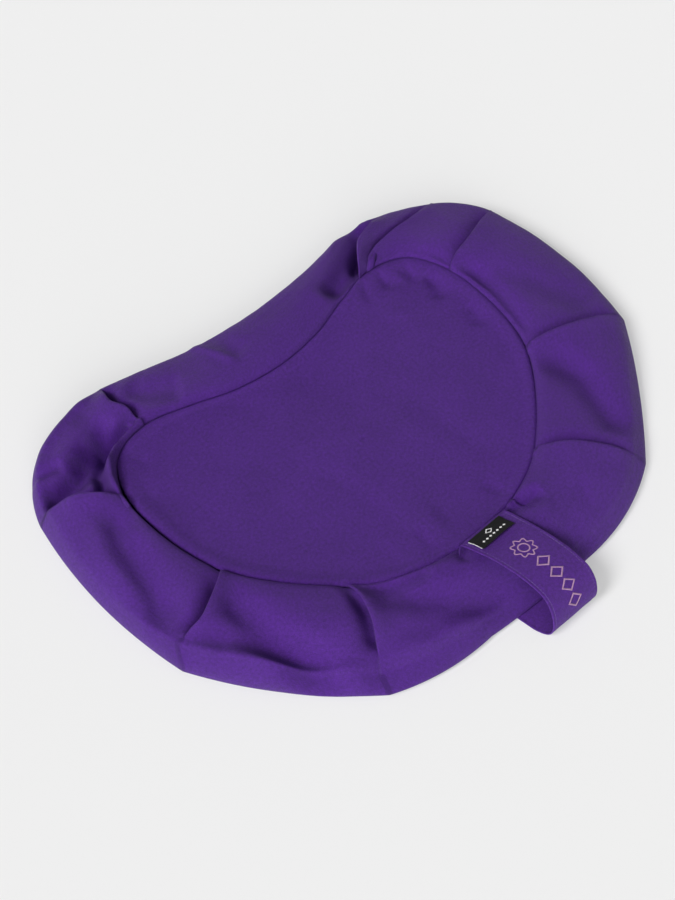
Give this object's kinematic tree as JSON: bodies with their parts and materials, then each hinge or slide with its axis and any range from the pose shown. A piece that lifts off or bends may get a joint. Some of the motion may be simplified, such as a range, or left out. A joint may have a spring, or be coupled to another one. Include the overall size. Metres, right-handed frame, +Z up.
{
  "type": "meditation cushion cover",
  "caption": "Empty crescent-shaped cushion cover lying flat, with a pleated side band, a concealed zip, a carry strap with an open loop and a folded woven label.",
  "frame": {"origin": "on the surface the cover lies on, under the middle of its overall box", "axes": "+X along the crescent's length, +Y towards its hollow side with the zip, +Z up; the handle is on the -Y side"},
  "size_m": [0.4818, 0.3899, 0.0356],
  "materials": {
    "cotton": "woven",
    "rose_thread": "satin",
    "purple_thread": "matte",
    "black_ribbon": "woven",
    "white_thread": "matte",
    "white_satin": "satin",
    "nylon_coil": "satin",
    "painted_zinc": "semi-gloss"
  },
  "bodies": {
    "root": {"pleated_band": "cotton", "zip_panel_upper": "cotton", "zip_panel_lower": "cotton", "zip_end_tab_left": "cotton", "zip_end_tab_right": "cotton", "top_panel": "cotton", "bottom_panel": "cotton", "top_seam_overlock": "purple_thread", "bottom_seam_overlock": "purple_thread", "care_label": "white_satin", "zip_tape_upper": "cotton", "zip_tape_lower": "cotton", "zip_coil_upper": "nylon_coil", "zip_top_stop_upper": "painted_zinc", "zip_coil_lower": "nylon_coil", "zip_top_stop_lower": "painted_zinc", "zip_bottom_stop": "painted_zinc", "zip_stitching_upper": "purple_thread", "zip_stitching_lower": "purple_thread", "handle_upper_run": "cotton", "handle_lower_run": "cotton", "handle_stitching_upper_left": "purple_thread", "handle_stitching_upper_right": "purple_thread", "embroidery_rosette": "rose_thread", "embroidery_lozenge_1": "rose_thread"},
    "handle": {"handle_loop": "cotton", "handle_stitching_loop_left": "purple_thread", "handle_stitching_loop_right": "purple_thread", "embroidery_lozenge_2": "rose_thread", "embroidery_lozenge_3": "rose_thread", "embroidery_lozenge_4": "rose_thread"},
    "label": {"seam_label": "black_ribbon", "label_motif": "white_thread"},
    "slider": {"zip_slider": "painted_zinc"},
    "pull_tab": {"zip_pull_tab": "painted_zinc"}
  },
  "joints": [
    {"name": "zip_run", "type": "hinge", "parent": "root", "child": "slider", "pos_m": [0.0027, 0.5688, 0.0096], "axis": [0, 0, 1], "range_deg": [0, 27]},
    {"name": "pull_tab_swing", "type": "hinge", "parent": "slider", "child": "pull_tab", "pos_m": [-0.09008, 0.18233, 0.0096], "axis": [0, 0, 1], "range_deg": [0, 160]},
    {"name": "label_flip", "type": "hinge", "parent": "root", "child": "label", "pos_m": [0.00233, -0.10853, 0.0304], "axis": [-0.9945, -0.1045, 0], "range_deg": [0, 120]},
    {"name": "handle_lift", "type": "hinge", "parent": "root", "child": "handle", "pos_m": [0.00561, -0.16359, 0.0328], "axis": [-0.9945, -0.1045, 0], "range_deg": [0, 45]}
  ]
}
